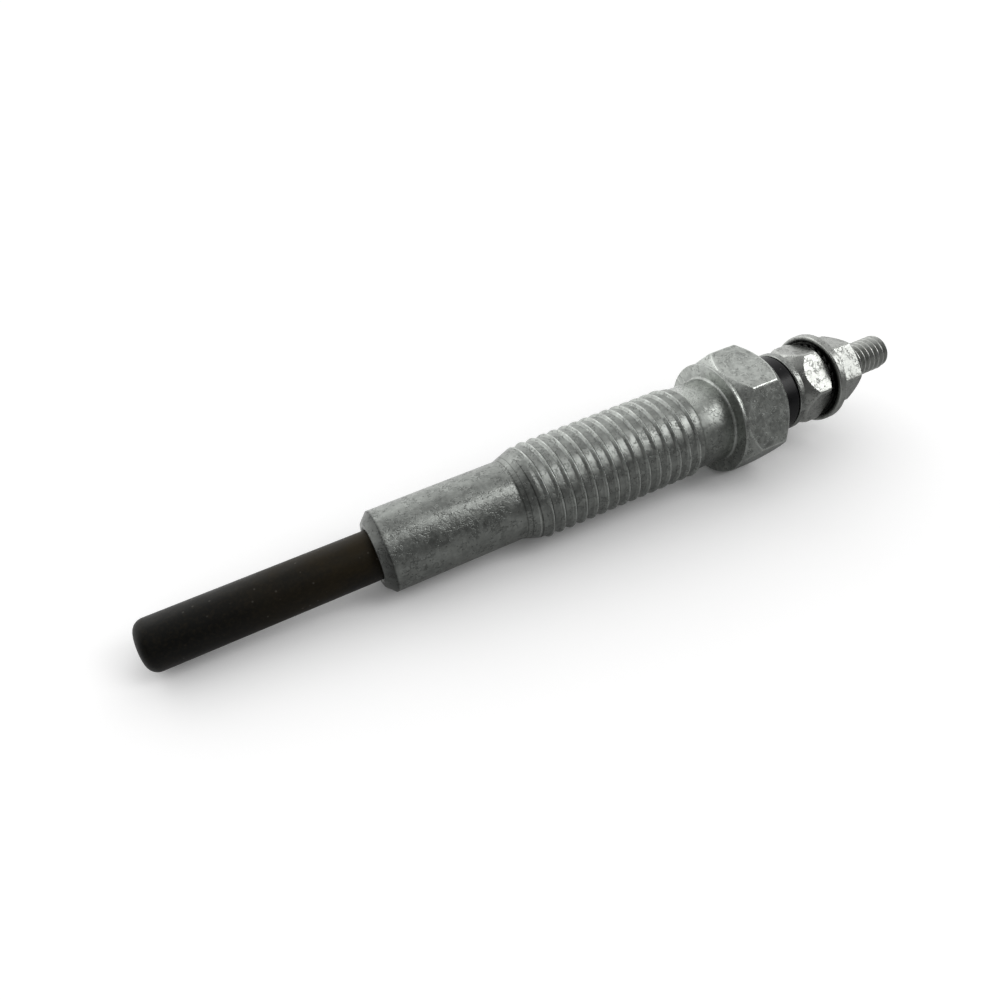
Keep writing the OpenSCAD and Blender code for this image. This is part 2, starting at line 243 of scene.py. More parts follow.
def calc(operation, *values):
    """The result of a Math node."""
    return node(tree_of(*values), "ShaderNodeMath", dict(enumerate(values)), operation=operation)


def plus(a, b):
    """Two values added."""
    return calc("ADD", a, b)


def minus(a, b):
    """One value less another."""
    return calc("SUBTRACT", a, b)


def times(a, b):
    """Two values multiplied."""
    return calc("MULTIPLY", a, b)


def ramp(value, low, high, to_low=0.0, to_high=1.0, smooth=False):
    """A value taken from one range to another and kept inside it."""
    return node(value.id_data, "ShaderNodeMapRange", {0: value, 1: low, 2: high, 3: to_low, 4: to_high},
                interpolation_type="SMOOTHSTEP" if smooth else "LINEAR")


def mixed(share, a, b):
    """Two colours mixed."""
    return node(tree_of(share, a, b), "ShaderNodeMix", {0: share, 6: a, 7: b}, data_type="RGBA").outputs[2]


def rgba(colour, factor=1.0):
    """A colour with full alpha, made lighter or darker."""
    return tuple(min(1.0, c * factor) for c in colour[:3]) + (1.0,)


# Finishes. A pattern's scale is its repeats in a metre.

CLOUDS, GRAINS, FINE_GRAINS, PITS, PATCHES = 620, 2300, 8000, 2100, 1150
# How dark flecks and painted shade go, and how bright worn edges and painted crest highlights go
FLECK_DARK, SHADE_DARK, EDGE_BRIGHT = 0.22, 0.07, 1.6
SPECK_GREY, DUST_GREY = (0.18, 0.17, 0.15, 1), (0.30, 0.29, 0.27, 1)
TUBE_CLOUDS, TUBE_GRAINS, TUBE_SPECKS = 260, 3000, 1300
SOOT_SHEEN, BROWN_SHEEN = (1, 1, 0.95, 1), (1, 0.88, 0.66, 1)
WIRE_CLOUDS, WIRE_GRAINS = 900, 9000


def new_finish(name):
    """Starts a material: gives its tree, its Principled shader and the piece's own coordinates."""
    tree = blank_tree(bpy.data.materials.new(name))
    shader = node(tree, "ShaderNodeBsdfPrincipled")
    node(tree, "ShaderNodeOutputMaterial", {0: shader})
    return tree, shader, node(tree, "ShaderNodeTexCoord").outputs["Object"]


def bump(strength, depth, height):
    """A pattern raised on a surface."""
    return node(height.id_data, "ShaderNodeBump",
                {"Strength": strength, "Distance": depth, "Height": height})


def noise(place, scale, detail, rough):
    """A noise pattern on the piece's own coordinates."""
    return node(place.id_data, "ShaderNodeTexNoise",
                {"Vector": place, "Scale": scale, "Detail": detail, "Roughness": rough})


def spots(place, scale, size):
    """Small round spots, some of them left out."""
    cells = node(place.id_data, "ShaderNodeTexVoronoi", {"Vector": place, "Scale": scale})
    dots = ramp(cells.outputs["Distance"], size, size * 0.45, smooth=True)
    picked = node(place.id_data, "ShaderNodeSeparateColor", {0: cells.outputs["Color"]})
    return times(dots, calc("GREATER_THAN", picked, 0.6))


def attribute(tree, name):
    """A value kept on the mesh."""
    return node(tree, "ShaderNodeAttribute", attribute_name=name).outputs["Fac"]


def plated_finish(name, colour, satin, mottle, fleck):
    """Zinc plating: cloudy grain, fine pits, painted shade where the mesh keeps groove values, and edges
    rubbed bright, with a painted highlight along thread crests.
    """
    tree, shader, place = new_finish(name)
    cloud = noise(place, CLOUDS, 5, 0.65)
    grain = noise(place, GRAINS, 4, 0.6)
    fine = noise(place, FINE_GRAINS, 2, 0.5)
    edge = attribute(tree, "edge")
    tone = ramp(plus(times(cloud, 0.55), times(grain, 0.45)), 0.36, 0.64)
    plain = mixed(tone, rgba(colour, 1 - mottle), rgba(colour, 1 + mottle))
    wander = calc("ABSOLUTE", minus(noise(place, GRAINS, 2, 0.5), 0.5))
    patches = ramp(noise(place, PATCHES, 1, 0.5), 0.46, 0.56)
    squiggle = times(ramp(wander, 0.05, 0.018), patches)
    flecks = times(calc("MAXIMUM", squiggle, spots(place, PITS, 0.26)), fleck)
    stained_and_shaded = mixed(flecks, plain, rgba(colour, FLECK_DARK))
    # Painted shade where the mesh keeps a groove value
    stained_and_shaded = mixed(attribute(tree, "groove"), stained_and_shaded, rgba(colour, SHADE_DARK))
    # Edges rubbed bright, with a painted highlight along thread crests
    rubbed = mixed(times(edge, 0.6), stained_and_shaded, rgba(colour, EDGE_BRIGHT))
    dull = ramp(plus(times(cloud, 0.6), times(grain, 0.4)), 0.35, 0.65, satin - 0.06, satin + 0.08)
    dull = minus(dull, times(edge, 0.10))
    height = minus(plus(grain, times(fine, 0.35)), times(flecks, 0.8))
    fill(shader, {"Base Color": rubbed, "Metallic": 1.0, "Roughness": plus(dull, times(flecks, 0.25)),
                  "Normal": bump(0.5, 0.05 * MM, height)})


def sheath_finish(soot, brown):
    """Heat-blackened tube: black at the tip, browner towards the nose, with a few pale specks."""
    tree, shader, place = new_finish("heat_blackened_tube")
    along = node(tree, "ShaderNodeSeparateXYZ", {0: place})
    cloud = noise(place, TUBE_CLOUDS, 5, 0.65)
    grain = noise(place, TUBE_GRAINS, 3, 0.6)
    warm = ramp(along, TIP_X + 4 * MM, SEAT_X - 1 * MM, smooth=True)
    warm = times(warm, ramp(cloud, 0.35, 0.62))
    base = mixed(warm, rgba(soot), rgba(brown))
    base = mixed(ramp(grain, 0.45, 0.75, 0, 0.5), base, rgba(brown, 1.5))
    base = mixed(times(attribute(tree, "edge"), 0.3), base, rgba(brown, 1.6))
    specks = times(spots(place, TUBE_SPECKS, 0.17), 0.22)
    fill(shader, {"Base Color": mixed(specks, base, SPECK_GREY), "Specular IOR Level": 0.25,
                  "Roughness": ramp(cloud, 0.3, 0.7, 0.40, 0.56), "Normal": bump(0.3, 0.02 * MM, grain),
                  "Specular Tint": mixed(warm, SOOT_SHEEN, BROWN_SHEEN)})


def soft_finish(name, colour, low, high, scale, bump_depth, fleck=0.0, shine=0.5):
    """A finish that isn't metal: cloudy colour, uneven gloss, and grain at one scale."""
    tree, shader, place = new_finish(name)
    cloud = noise(place, scale * 0.2, 4, 0.6)
    base = mixed(ramp(cloud, 0.35, 0.65), rgba(colour, 0.8), rgba(colour, 1.2))
    base = mixed(times(attribute(tree, "edge"), 0.3), base, rgba(colour, 2.5))
    dust = times(spots(place, scale * 0.5, 0.12), fleck)
    dull = ramp(plus(cloud, times(dust, 0.5)), 0.3, 0.9, low, high)
    fill(shader, {"Base Color": mixed(dust, base, DUST_GREY), "Roughness": dull,
                  "Specular IOR Level": shine, "Normal": bump(0.3, bump_depth, noise(place, scale, 3, 0.6))})


def wire_finish(colour):
    """Drawn resistance wire, slightly heat-tinted."""
    _, shader, place = new_finish("drawn_wire")
    cloud = noise(place, WIRE_CLOUDS, 3, 0.6)
    grain = noise(place, WIRE_GRAINS, 2, 0.5)
    base = mixed(ramp(cloud, 0.35, 0.65), rgba(colour, 0.75), rgba(colour, 1.15))
    fill(shader, {"Base Color": base, "Metallic": 1.0, "Roughness": ramp(grain, 0.3, 0.7, 0.25, 0.40),
                  "Normal": bump(0.2, 0.01 * MM, grain)})


# Turned and hexagonal meshes. An angle is measured round the axis, from facing up towards -Y.

SECTOR = math.radians(60)
CORNER_SHARP, CORNER_SHARE = 0.34, 0.57
CUT_SHARE, GUARD_SHARE, WORN_FILLET = 0.42, 0.12, 0.3 * MM


def turn_angles(roll, per_flat):
    """Angles round the axis, closer together near a hexagon's corners."""
    u = np.linspace(-1, 1, per_flat, endpoint=False)
    sector = SECTOR / 2 * (0.3 * u + 0.7 * np.sin(math.pi / 2 * u))
    return np.concatenate([roll + SECTOR * k + sector for k in range(6)])


def soft_min(a, b, width):
    """The smaller of two values, with an eased change-over."""
    h = np.clip(0.5 + 0.5 * (b - a) / width, 0, 1)
    return b * (1 - h) + a * h - width * h * (1 - h)


def hex_radius(angles, af, roll, edge):
    """Radius of a hexagon with eased corners, at each angle."""
    sharp = CORNER_SHARP * af / edge
    cosines = np.array([np.cos(angles - roll - SECTOR * k) for k in range(6)])
    return af / 2 / (np.log(np.exp(sharp * (cosines - 1)).sum(0)) / sharp + 1)


def near(gap, width):
    """1 where a gap is nothing, falling to 0 as it grows past a width."""
    return np.exp(-(gap / width) ** 2)


def outline(points, steps=4):
    """Rows of a turned outline: each corner (x, radius, fillet) becomes an arc between two close rows."""
    rows = []
    for i, (x, r, fillet) in enumerate(points):
        corner = np.array((x, r))
        if fillet <= 0 or i in (0, len(points) - 1):
            rows.append((x, r, 0.0))
            continue
        back = np.array(points[i - 1][:2]) - corner
        on = np.array(points[i + 1][:2]) - corner
        back_len, on_len = np.linalg.norm(back), np.linalg.norm(on)
        back, on = back / back_len, on / on_len
        half = 0.5 * math.acos(float(np.clip(back @ on, -1, 1)))
        cut = min(fillet / math.tan(half), CUT_SHARE * back_len, CUT_SHARE * on_len)
        r_arc = cut * math.tan(half)
        middle = (back + on) / np.linalg.norm(back + on)
        centre = corner + middle * r_arc / math.sin(half)
        guard = GUARD_SHARE * cut
        rows.append((*(corner + back * (cut + guard)), 0.0))
        start, end = corner + back * cut - centre, corner + on * cut - centre
        sweep = math.pi - 2 * half
        for k in range(steps + 1):
            t = k / steps
            arm = (start * math.sin((1 - t) * sweep) + end * math.sin(t * sweep)) / math.sin(sweep)
            rows.append((*(centre + arm), math.sin(math.pi * t) if fillet < WORN_FILLET else 0.0))
        rows.append((*(corner + on * (cut + guard)), 0.0))
    return rows


def even_rows(start, end, step):
    """Rows between two places of an outline, a step apart, without its ends."""
    count = max(1, round(math.dist(start, end) / step))
    return [(*(a + (b - a) * k / count for a, b in zip(start, end)), 0.0) for k in range(1, count)]


def put(name, data):
    """A new object in the scene."""
    made = bpy.data.objects.new(name, data)
    bpy.context.scene.collection.objects.link(made)
    return made


def turned_piece(name, rows, angles):
    """A mesh piece from rows (x, radius, edge). Rows that don't start on the axis close up into a ring."""
    count = len(angles)
    places, edges, rings = [], [], []
    for x, r, edge in rows:
        if np.isscalar(r) and r < 1e-7:
            rings.append([len(places)])
            places.append((x, 0.0, 0.0))
            edges.append(0.0)
            continue
        r = np.broadcast_to(r, count)
        rings.append(list(range(len(places), len(places) + count)))
        places.extend(zip(np.broadcast_to(x, count), -r * np.sin(angles), r * np.cos(angles)))
        edges.extend(np.broadcast_to(edge, count))
    faces = []
    for a, b in zip(rings, rings[1:] + rings[:1] if len(rings[0]) > 1 else rings[1:]):
        for k in range(count):
            n = (k + 1) % count
            if len(a) == 1:
                faces.append((a[0], b[k], b[n]))
            elif len(b) == 1:
                faces.append((a[k], b[0], a[n]))
            else:
                faces.append((a[k], b[k], b[n], a[n]))
    mesh = bpy.data.meshes.new(name)
    mesh.from_pydata(places, [], faces)
    keep_values(mesh, "edge", edges)
    ease_mesh(mesh)
    return put(name, mesh)


def keep_values(mesh, name, values):
    """Keeps a value for each point of a mesh, for its finish."""
    kept = mesh.attributes.new(name, "FLOAT", "POINT")
    kept.data.foreach_set("value", np.asarray(values, np.float32))


def rounds(piece):
    """Place along the axis, and radius, of each point of a piece."""
    places = np.array([v.co for v in piece.data.vertices])
    return places[:, 0], np.hypot(places[:, 1], places[:, 2])


def ease_mesh(mesh):
    """Faces turned outwards and shaded smooth."""
    work = bmesh.new()
    work.from_mesh(mesh)
    bmesh.ops.remove_doubles(work, verts=work.verts, dist=1e-8)
    bmesh.ops.recalc_face_normals(work, faces=work.faces)
    for face in work.faces:
        face.smooth = True
    work.to_mesh(mesh)
    work.free()


def hex_rows(angles, af, roll, places, front, rear, collar=None, ease=0.0):
    """Rows of a hexagon between chamfers; front, rear and collar give a radius at a place."""
    edge, wear = settings().terminal.edge, settings().terminal.wear
    flat = hex_radius(angles, af, roll, edge)
    corner = np.abs((angles - roll) % SECTOR - SECTOR / 2) * af * CORNER_SHARE
    rows = []
    for x in places:
        cone = soft_min(front(x), rear(x), edge)
        r = soft_min(flat, cone, edge)
        worn = np.maximum(near(flat - cone, wear), near(corner, wear) * (cone > flat))
        if collar:
            worn = worn * (r > collar(x))
            r = -soft_min(-r, -collar(x), ease)
        rows.append((x, r, worn))
    return rows


def spread(*stops):
    """Places along the axis: stops given as (place, step to the next stop)."""
    places = []
    for (a, step), (b, _) in zip(stops, stops[1:]):
        count = max(1, round((b - a) / step))
        places.extend(a + (b - a) * k / count for k in range(count))
    return places + [stops[-1][0]]


# Geometry Nodes

# A thread: how soft its roots and crests are, and how dark its foot and root are painted as shade
ROOT_EASE, CREST_EASE = 0.34, 0.16
FOOT_SHADE, ROOT_SHADE = 0.85, 0.34


def new_tree(name, floats=(), wholes=()):
    """A Geometry Nodes tree with named inputs and a finish; gives the tree and its inputs."""
    tree = bpy.data.node_groups.new(name, "GeometryNodeTree")
    for labels, kind in ((["Geometry"], "Geometry"), (floats, "Float"), (wholes, "Int"),
                         (["Finish"], "Material")):
        for label in labels:
            tree.interface.new_socket(label, in_out="INPUT", socket_type="NodeSocket" + kind)
    tree.interface.new_socket("Geometry", in_out="OUTPUT", socket_type="NodeSocketGeometry")
    return tree, node(tree, "NodeGroupInput").outputs


def close_tree(tree, geometry, finish):
    """Ends a tree: instances made real and the finish set."""
    real = node(tree, "GeometryNodeRealizeInstances", {0: geometry})
    painted = node(tree, "GeometryNodeSetMaterial", {"Geometry": real, "Material": finish})
    node(tree, "NodeGroupOutput", {0: painted})
    return tree


def keep_larger(tree, geometry, name, value):
    """Keeps the larger of a value and the one that a mesh already has."""
    was = node(tree, "GeometryNodeInputNamedAttribute", {"Name": name}, data_type="FLOAT")
    return node(tree, "GeometryNodeStoreNamedAttribute",
                {"Geometry": geometry, "Name": name, "Value": calc("MAXIMUM", was, value)},
                data_type="FLOAT", domain="POINT")


def thread_tree():
    """Rolls a right-hand thread into a turned piece, between a front and a rear place."""
    tree, g = new_tree("rolled_thread",
                       ("Front", "Rear", "Run-out", "Pitch", "Crest radius", "Depth", "Crest share"))
    crest_r, depth, share = g["Crest radius"], g["Depth"], g["Crest share"]
    place = node(tree, "GeometryNodeInputPosition")
    x, y, z = node(tree, "ShaderNodeSeparateXYZ", {0: place}).outputs
    r = calc("SQRT", plus(times(y, y), times(z, z)))
    turn = calc("DIVIDE", calc("ARCTAN2", times(y, -1.0), z), 2 * math.pi)
    phase = calc("FRACT", minus(calc("DIVIDE", x, g["Pitch"]), turn))
    away = times(calc("ABSOLUTE", minus(phase, 0.5)), 2.0)
    flank = ramp(away, times(share, 0.2), share)
    flank.clamp = False
    sunk = calc("SMOOTH_MIN", flank, 1.0, ROOT_EASE)
    sunk = calc("SMOOTH_MAX", sunk, 0.0, CREST_EASE)
    end = plus(g["Rear"], g["Run-out"])
    lift = ramp(x, minus(g["Rear"], g["Run-out"]), end, smooth=True)
    sunk = times(sunk, minus(1.0, lift))
    rolled = minus(crest_r, times(depth, sunk))
    rolled = calc("SMOOTH_MIN", r, rolled, 0.04 * MM)
    inside = times(calc("GREATER_THAN", x, g["Front"]), calc("LESS_THAN", x, end))
    low = minus(crest_r, times(depth, 1.6))
    inside = times(inside, calc("GREATER_THAN", r, low))
    change = minus(calc("DIVIDE", rolled, r), 1.0)
    factor = plus(1.0, times(inside, change))
    moved = node(tree, "ShaderNodeCombineXYZ", {0: x, 1: times(y, factor), 2: times(z, factor)})
    # The crests are kept as edge values, which the finish brightens: worn crests and a painted highlight along
    # them
    crest = times(inside, ramp(sunk, 0.14, 0.03))
    kept = keep_larger(tree, g["Geometry"], "edge", crest)
    # Painted shade at the foot of each crest's rear flank and along the roots, kept as groove values
    foot = ramp(calc("ABSOLUTE", minus(away, share)), 0.17, 0.04)
    foot = times(times(foot, ramp(phase, 0.48, 0.56)), FOOT_SHADE)
    root = ramp(away, share, plus(share, 0.1), 0.0, ROOT_SHADE)
    kept = keep_larger(tree, kept, "groove", times(inside, calc("MAXIMUM", foot, root)))
    cut = node(tree, "GeometryNodeSetPosition", {"Geometry": kept, "Position": moved})
    return close_tree(tree, cut, g["Finish"])


def round_tree():
    """Repeats one shape round the plug's axis."""
    tree, g = new_tree("repeat_round_axis", wholes=("Count",))
    points = node(tree, "GeometryNodeMeshLine", {"Count": g["Count"], "Offset": (0, 0, 0)})
    index = node(tree, "GeometryNodeInputIndex")
    angle = times(calc("DIVIDE", index, g["Count"]), 2 * math.pi)
    turned = node(tree, "ShaderNodeCombineXYZ", {0: angle})
    copies = node(tree, "GeometryNodeInstanceOnPoints",
                  {"Points": points, "Instance": g["Geometry"], "Rotation": turned})
    return close_tree(tree, copies, g["Finish"])


def coil_tree():
    """Winds a wire round the axis, with a straight lead before its first turn."""
    floats = ("Start", "Pitch", "Radius", "Wire radius", "Lead", "Turns", "First turn")
    tree, g = new_tree("wound_wire", floats, ("Steps",))
    line = node(tree, "GeometryNodeMeshLine", {"Count": g["Steps"], "Offset": (0, 0, 0)})
    index = node(tree, "GeometryNodeInputIndex")
    share = calc("DIVIDE", index, minus(g["Steps"], 1.0))
    leads = calc("GREATER_THAN", g["Lead"], 1e-6)
    run = minus(times(share, plus(g["Turns"], leads)), leads)
    turns = calc("MAXIMUM", run, 0.0)
    x = plus(g["Start"], times(g["Pitch"], turns))
    x = plus(x, times(g["Lead"], calc("MINIMUM", run, 0.0)))
    angle = times(plus(turns, g["First turn"]), 2 * math.pi)
    y = times(g["Radius"], calc("SINE", angle))
    z = times(times(g["Radius"], calc("COSINE", angle)), -1.0)
    path = node(tree, "ShaderNodeCombineXYZ", {0: x, 1: y, 2: z})
    wound = node(tree, "GeometryNodeSetPosition", {"Geometry": line, "Position": path})
    curve = node(tree, "GeometryNodeMeshToCurve", {0: wound})
    section = node(tree, "GeometryNodeCurvePrimitiveCircle", {"Resolution": 10, "Radius": g["Wire radius"]})
    wire = node(tree, "GeometryNodeCurveToMesh",
                {"Curve": curve, "Profile Curve": section, "Fill Caps": True})
    smooth = node(tree, "GeometryNodeSetShadeSmooth", {"Geometry": wire})
    return close_tree(tree, smooth, g["Finish"])


def run_tree(piece, tree, finish, **values):
    """Runs a tree on a piece and keeps the result as its plain mesh. Names use _ for a space."""
    values["finish"] = bpy.data.materials[finish]
    modifier = piece.modifiers.new(tree.name, "NODES")
    modifier.node_group = tree
    for item in tree.interface.items_tree:
        key = item.name.replace(" ", "_").replace("-", "_").lower()
        if item.item_type == "SOCKET" and item.in_out == "INPUT" and key in values:
            modifier[item.identifier] = values[key]
    graph = bpy.context.evaluated_depsgraph_get()
    made = bpy.data.meshes.new_from_object(piece.evaluated_get(graph))
    piece.modifiers.remove(modifier)
    piece.data = made
    made.name = piece.name


def paint(made, finish):
    """Gives an object one finish, by name."""
    made.data.materials.clear()
    made.data.materials.append(bpy.data.materials[finish])


def finish_piece(piece, finish, slot, *nodes):
    """Gives a piece its finish, and lets it stand for its CAD nodes; the slot is not used."""
    paint(piece, finish)
    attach(piece, BODY)
    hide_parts(*nodes)


def settings():
    """The scene's glow plug settings."""
    return bpy.context.scene.glow_plug


# How dark the housing's front parts are painted: a line on the seat's rim, painted shade in the mouth, on the
# seat and lead-in, and a darker nose
RIM_TONE, MOUTH_SHADE, SEAT_SHADE, NOSE_TONE, LEAD_IN_SHADE = 0.85, 0.9, 0.62, 0.31, 0.7
THREAD_ROW, RUNOUT_ROW = 0.07 * MM, 0.06 * MM


class GLOWPLUG_OT_housing(bpy.types.Operator):
    """Builds the housing: seat, nose, rolled mounting thread, neck and chamfered hexagon"""
    bl_idname = "glow_plug.housing"
    bl_label = "Housing"

    def execute(self, context):
        s = settings().housing
        sheath_r = radius("heater_sheath")
        nose_r, thread_r, neck_r = s.nose_d / 2, s.thread_d / 2, s.neck_d / 2
        rim_x = SEAT_X + s.seat_len
        nose_rear_x = -s.thread_len - s.lead_in
        face_r, front_r, rear_r = s.face_d / 2, s.hex_af / 2 - s.face_inset, s.hex_af / 2 - s.rear_inset
        angles = turn_angles(0, 32)
        front = outline([(SEAT_X + s.mouth, sheath_r, 0), (SEAT_X, sheath_r + s.mouth, 0.05 * MM),
                         (SEAT_X, sheath_r + s.seat_land, 0.12 * MM), (rim_x, nose_r, 0.06 * MM),
                         (rim_x + 0.22 * MM, nose_r, 0), (rim_x + 0.5 * MM, nose_r, 0),
                         (nose_rear_x, nose_r, 0.5 * MM), (-s.thread_len, thread_r, 0)])[:-1]
        rows = [(x, r, 0.0) for x, r, _ in front]
        start = front[-1][:2]
        for end, step in (((-s.thread_len, thread_r), THREAD_ROW), ((0, thread_r), THREAD_ROW),
                          ((s.runout, neck_r), RUNOUT_ROW)):
            rows += even_rows(start, end, step) + [(*end, 0.0)]
            start = end
        rim_end_x = s.hex_x + s.face_t
        collar_rows = outline([(s.runout, neck_r, 0), (s.hex_x, neck_r, s.neck_fillet * 1.3),
                               (s.hex_x, face_r, 0.10 * MM), (rim_end_x, face_r, 0.08 * MM),
                               (rim_end_x + 0.05 * MM, face_r - 0.05 * MM, 0)])[:-1]
        rows += [(x, r, edge * 0.25) for x, r, edge in collar_rows[1:]]
        climb, fall = math.tan(s.front_chamfer), 1 / math.tan(s.rear_chamfer)
        places = spread((rim_end_x + 0.05 * MM, 0.035 * MM), (s.hex_x + 1.9 * MM, 0.3 * MM),
                        (HEX_REAR_X - 1.65 * MM, 0.04 * MM), (HEX_REAR_X - 0.02 * MM, 1))
        rows += hex_rows(angles, s.hex_af, 0, places, lambda x: front_r + (x - s.hex_x) * climb,
                         lambda x: rear_r + (HEX_REAR_X - x) * fall,
                         lambda x: face_r - (x - rim_end_x), 0.06 * MM)
        rows += [(HEX_REAR_X, rear_r - 0.04 * MM, 0.6), (HEX_REAR_X, rear_r - 0.12 * MM, 0.0)]
        pocket_r, bore_r = s.pocket_d / 2, s.bore_d / 2
        rows += outline([(HEX_REAR_X, rear_r - 0.3 * MM, 0), (HEX_REAR_X, pocket_r, 0.06 * MM),
                         (SEAL_X, pocket_r, 0.06 * MM), (SEAL_X, bore_r, 0.06 * MM),
                         (SHEATH_REAR_X, bore_r, 0.06 * MM), (SHEATH_REAR_X, sheath_r, 0.06 * MM),
                         (SEAT_X + s.mouth + 0.1 * MM, sheath_r, 0)])
        piece = turned_piece("housing_plated", rows, angles)
        x, r = rounds(piece)
        # A thin dark line along the seat's rim, painted shade in the sheath's mouth and on the seat, and a
        # darker nose
        rim_line = RIM_TONE * near(x - rim_x, 0.12 * MM) * near(r - nose_r, 0.10 * MM)
        mouth = MOUTH_SHADE * (x < rim_x) * (r < sheath_r + 0.9 * s.mouth)
        nose = NOSE_TONE * (x < -s.thread_len)
        seat = SEAT_SHADE * (x < rim_x - 0.03 * MM)
        # Painted shade lines on the lead-in, where the first ridges begin
        lead_in_lines = sum(near(x - nose_rear_x - gap, 0.08 * MM) for gap in (0.12 * MM, 0.62 * MM))
        lead_in_lines *= LEAD_IN_SHADE * (r > nose_r - 0.05 * MM)
        keep_values(piece.data, "groove", np.max([rim_line, mouth, seat, nose, lead_in_lines], axis=0))
        run_tree(piece, thread_tree(), "housing_plating", front=nose_rear_x, rear=s.last_crest,
                 run_out=0.25 * MM, pitch=s.pitch, crest_radius=thread_r, depth=s.depth,
                 crest_share=s.crest_share)
        finish_piece(piece, "housing_plating", "plated_steel", "housing")
        return {"FINISHED"}


class GLOWPLUG_OT_heater(bpy.types.Operator):
    """Builds the heater tube and winds the two coils inside it"""
    bl_idname = "glow_plug.heater"
    bl_label = "Heater"

    def execute(self, context):
        s = settings().heater
        r = radius("heater_sheath")
        inner_r = r - s.wall
        angles = turn_angles(0, 20)
        rows = outline([(TIP_X, 0, 0), (TIP_X, r, s.tip_round), (SEAT_X - 6 * MM, r, 0)], 14)
        rows += even_rows((SEAT_X - 6 * MM, r), (SHEATH_REAR_X, r), 2 * MM)
        rows += outline([(SHEATH_REAR_X - 1 * MM, r, 0), (SHEATH_REAR_X, r, 0.08 * MM),
                         (SHEATH_REAR_X, inner_r, 0.08 * MM), (FILLING_X, inner_r, 0.4 * MM),
                         (FILLING_X, 0, 0)])
        tube = turned_piece("heater_tube", rows, angles)
        finish_piece(tube, "heat_blackened_tube", "heat_blackened_alloy", "heater_sheath")
        wire_r = s.wire_d / 2
        start = FILLING_X + s.lead
        tree = coil_tree()
        for name, node_name, x, pitch, turns, lead, first in (
                ("heating_winding", "heating_coil", start, s.heating_pitch, s.heating_turns, s.lead, 0.0),
                ("regulating_winding", "regulating_coil", start + s.heating_pitch * s.heating_turns,
                 s.regulating_pitch, s.regulating_turns, 0.0, float(s.heating_turns))):
            coil = put(name, bpy.data.meshes.new(name))
            run_tree(coil, tree, "drawn_wire", start=x, pitch=pitch, radius=inner_r - s.coil_gap - wire_r,
                     wire_radius=wire_r, lead=lead, turns=float(turns), first_turn=first, steps=36 * turns + 1)
            finish_piece(coil, "drawn_wire", "coil_wire", node_name)
        return {"FINISHED"}


# The rod's hidden steps: its pin, and its gaps to the tube, the coil and the clamp thread
PIN_LEN, TUBE_GAP, COIL_GAP, THREAD_STEP = 2.4 * MM, 0.55 * MM, 0.06 * MM, 0.25 * MM


class GLOWPLUG_OT_rod(bpy.types.Operator):
    """Builds the centre rod with its clamp thread and the terminal stud"""
    bl_idname = "glow_plug.rod"
    bl_label = "Centre rod"

    def execute(self, context):
        s = settings().terminal
        h = settings().heater
        stud_r, clamp_r = s.stud_d / 2, s.clamp_thread_d / 2
        front_r = radius("heater_sheath") - h.wall - TUBE_GAP
        rod_r = clamp_r - THREAD_STEP
        pin_r = radius("heating_coil") - h.wire_d - COIL_GAP
        shoulder_x = PIN_X + PIN_LEN
        taper_x = SHEATH_REAR_X + 1.5 * MM
        step_x = TERMINAL_X - 0.4 * MM
        angles = turn_angles(0, 14)
        rows = outline([(PIN_X, 0, 0), (PIN_X, pin_r, 0.1 * MM), (shoulder_x, pin_r, 0.05 * MM),
                        (shoulder_x, front_r, 0.1 * MM), (taper_x, front_r, 0.3 * MM),
                        (taper_x + 1 * MM, rod_r, 0.3 * MM), (HEX_REAR_X - THREAD_STEP, rod_r, 0.05 * MM),
                        (HEX_REAR_X, clamp_r, 0)])[:-1]
        rows += even_rows((HEX_REAR_X, clamp_r), (step_x, clamp_r), 0.08 * MM)
        rows += [(step_x, clamp_r, 0.0), (step_x, stud_r + 0.2 * MM, 0.0), (step_x, stud_r, 0.0)]
        rows += even_rows((step_x, stud_r), (STUD_END_X - s.stud_chamfer, stud_r), 0.04 * MM)
        rows += outline([(STUD_END_X - s.stud_chamfer - 0.1 * MM, stud_r, 0),
                         (STUD_END_X - s.stud_chamfer, stud_r, 0.15 * MM),
                         (STUD_END_X, stud_r - s.stud_chamfer, 0.2 * MM), (STUD_END_X, 0, 0)])[1:]
        rod = turned_piece("terminal_rod", rows, angles)
        for front, rear, run_out, pitch, r, depth in (
                (HEX_REAR_X, step_x - 0.3 * MM, 0.2 * MM, s.clamp_pitch, clamp_r, s.clamp_depth),
                (TERMINAL_X, STUD_END_X, 0.1 * MM, s.stud_pitch, stud_r, s.stud_depth)):
            run_tree(rod, bpy.data.node_groups["rolled_thread"], "stud_plating", front=front, rear=rear,
                     run_out=run_out, pitch=pitch, crest_radius=r, depth=depth, crest_share=s.rod_crest_share)
        finish_piece(rod, "stud_plating", "stud_steel", "centre_rod")
        return {"FINISHED"}


